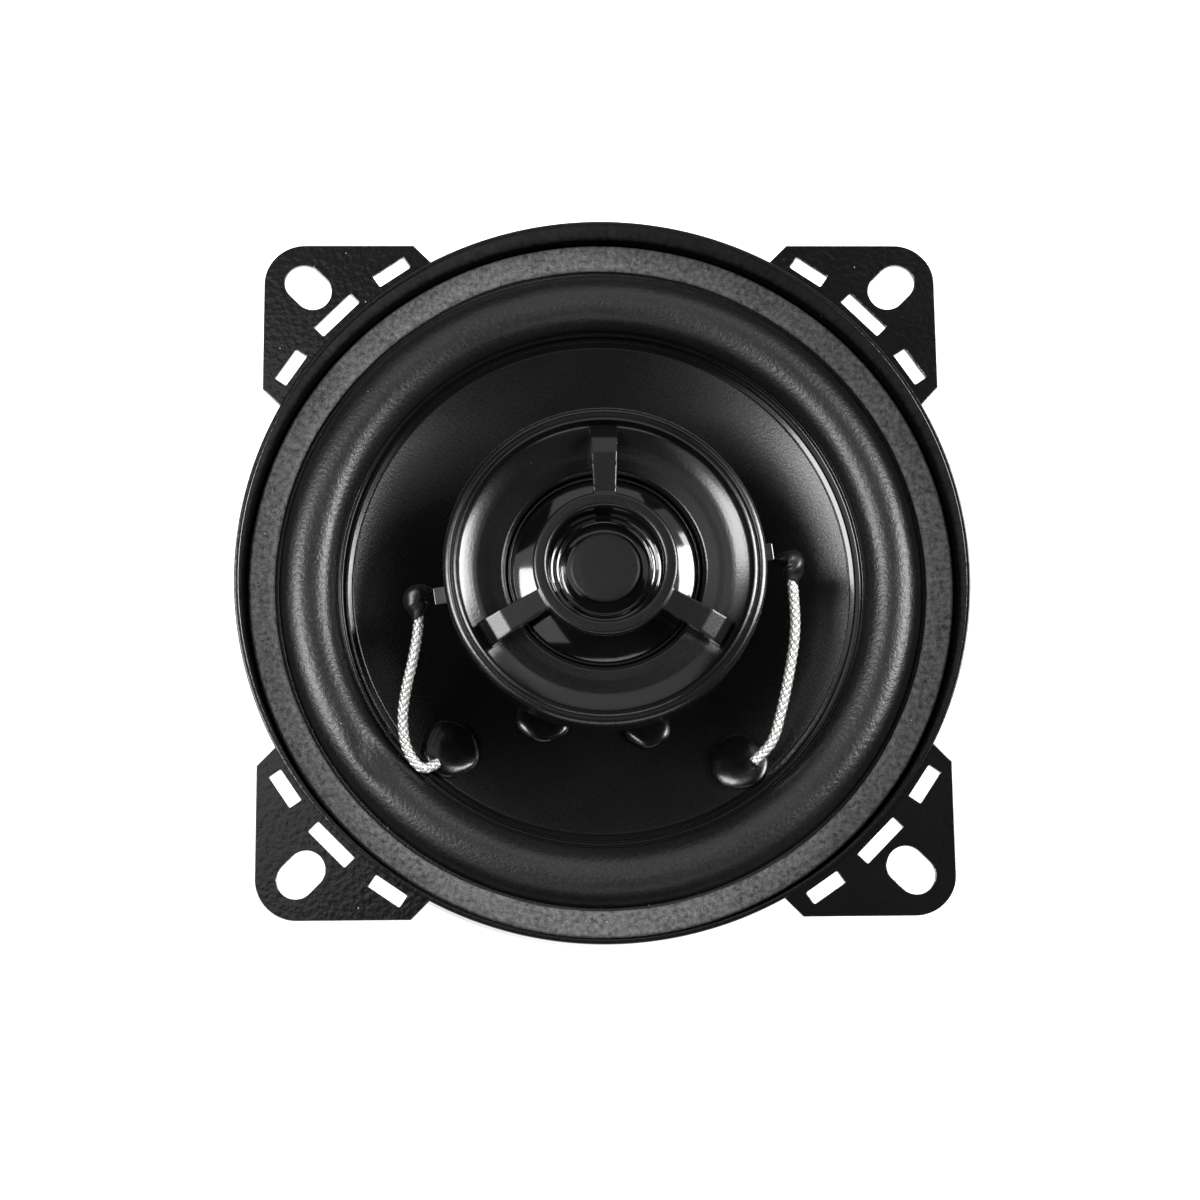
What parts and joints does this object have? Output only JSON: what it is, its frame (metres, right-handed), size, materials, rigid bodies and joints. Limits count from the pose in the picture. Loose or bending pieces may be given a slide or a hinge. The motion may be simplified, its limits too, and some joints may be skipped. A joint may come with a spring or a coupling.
{
  "type": "coaxial car speaker",
  "caption": "Coaxial car speaker: round pressed-steel frame with corner tabs, shallow cone and a tweeter held over it.",
  "frame": {"origin": "centre of the yoke's rear face, on the speaker's axis", "axes": "+Z along the speaker's axis toward the listener, +X to the right and +Y up as seen from the front"},
  "size_m": [0.1016, 0.1016, 0.0517],
  "materials": {
    "black_paint": "satin black paint",
    "zinc_steel": "zinc plated",
    "ferrite": "dull",
    "brass": "satin",
    "copper_wire": "enamelled",
    "tinned_braid": "braided",
    "grey_fibre": "pressed fibre",
    "black_rubber": "satin",
    "spider_cloth": "resin treated cloth",
    "black_polypropylene": "satin",
    "former_film": "satin",
    "black_glue": "glossy",
    "black_plastic": "fine grain",
    "guard_plastic": "matte",
    "tweeter_film": "glossy film",
    "dark_felt": "matte",
    "phenolic_board": "pressed board",
    "capacitor_sleeve": "shrink sleeve"
  },
  "bodies": {
    "frame": {"basket": "black_paint", "t_yoke": "zinc_steel", "top_plate": "zinc_steel", "basket_rivet_1": "zinc_steel", "basket_rivet_2": "zinc_steel", "basket_rivet_3": "zinc_steel", "basket_rivet_4": "zinc_steel", "terminal_positive": "zinc_steel", "terminal_negative": "zinc_steel", "post_screw": "zinc_steel", "post_nut": "zinc_steel", "tweeter_tab_left": "zinc_steel", "tweeter_tab_right": "zinc_steel", "tweeter_cup": "zinc_steel", "tweeter_magnet": "zinc_steel", "tweeter_pole_cap": "zinc_steel", "capacitor_wire_in": "zinc_steel", "capacitor_wire_out": "zinc_steel", "tweeter_return_wire": "zinc_steel", "magnet": "ferrite", "board_rivet_left": "brass", "board_rivet_right": "brass", "front_lead_left": "tinned_braid", "front_lead_right": "tinned_braid", "rear_lead_left": "tinned_braid", "rear_lead_right": "tinned_braid", "gasket": "grey_fibre", "surround": "black_rubber", "spider": "spider_cloth", "tab_glue_left": "black_glue", "tab_glue_right": "black_glue", "tweeter_housing": "black_plastic", "tweeter_back_cover": "black_plastic", "tweeter_post": "black_plastic", "tweeter_carrier": "black_plastic", "tweeter_retaining_ring": "black_plastic", "tweeter_guard": "guard_plastic", "terminal_board": "phenolic_board", "crossover_capacitor": "capacitor_sleeve"},
    "moving_cone": {"cone": "black_polypropylene", "cone_eyelet_left": "brass", "cone_eyelet_right": "brass", "lead_pad_left": "black_glue", "lead_pad_right": "black_glue", "coil_glue_left": "black_glue", "coil_glue_right": "black_glue", "voice_coil_former": "former_film", "voice_coil": "copper_wire"},
    "moving_dome": {"tweeter_diaphragm": "tweeter_film", "tweeter_coil": "copper_wire", "tweeter_dome_cap": "dark_felt"}
  },
  "joints": [
    {"name": "cone_travel", "type": "slide", "parent": "frame", "child": "moving_cone", "axis": [0, 0, 1], "range_m": [-0.003, 0.003], "stiffness_N_per_m": 1500, "deforming": ["surround", "spider", "front_lead_left", "front_lead_right", "rear_lead_left", "rear_lead_right"]},
    {"name": "dome_travel", "type": "slide", "parent": "frame", "child": "moving_dome", "axis": [0, 0, 1], "range_m": [-0.0002, 0.0002], "stiffness_N_per_m": 1000}
  ]
}
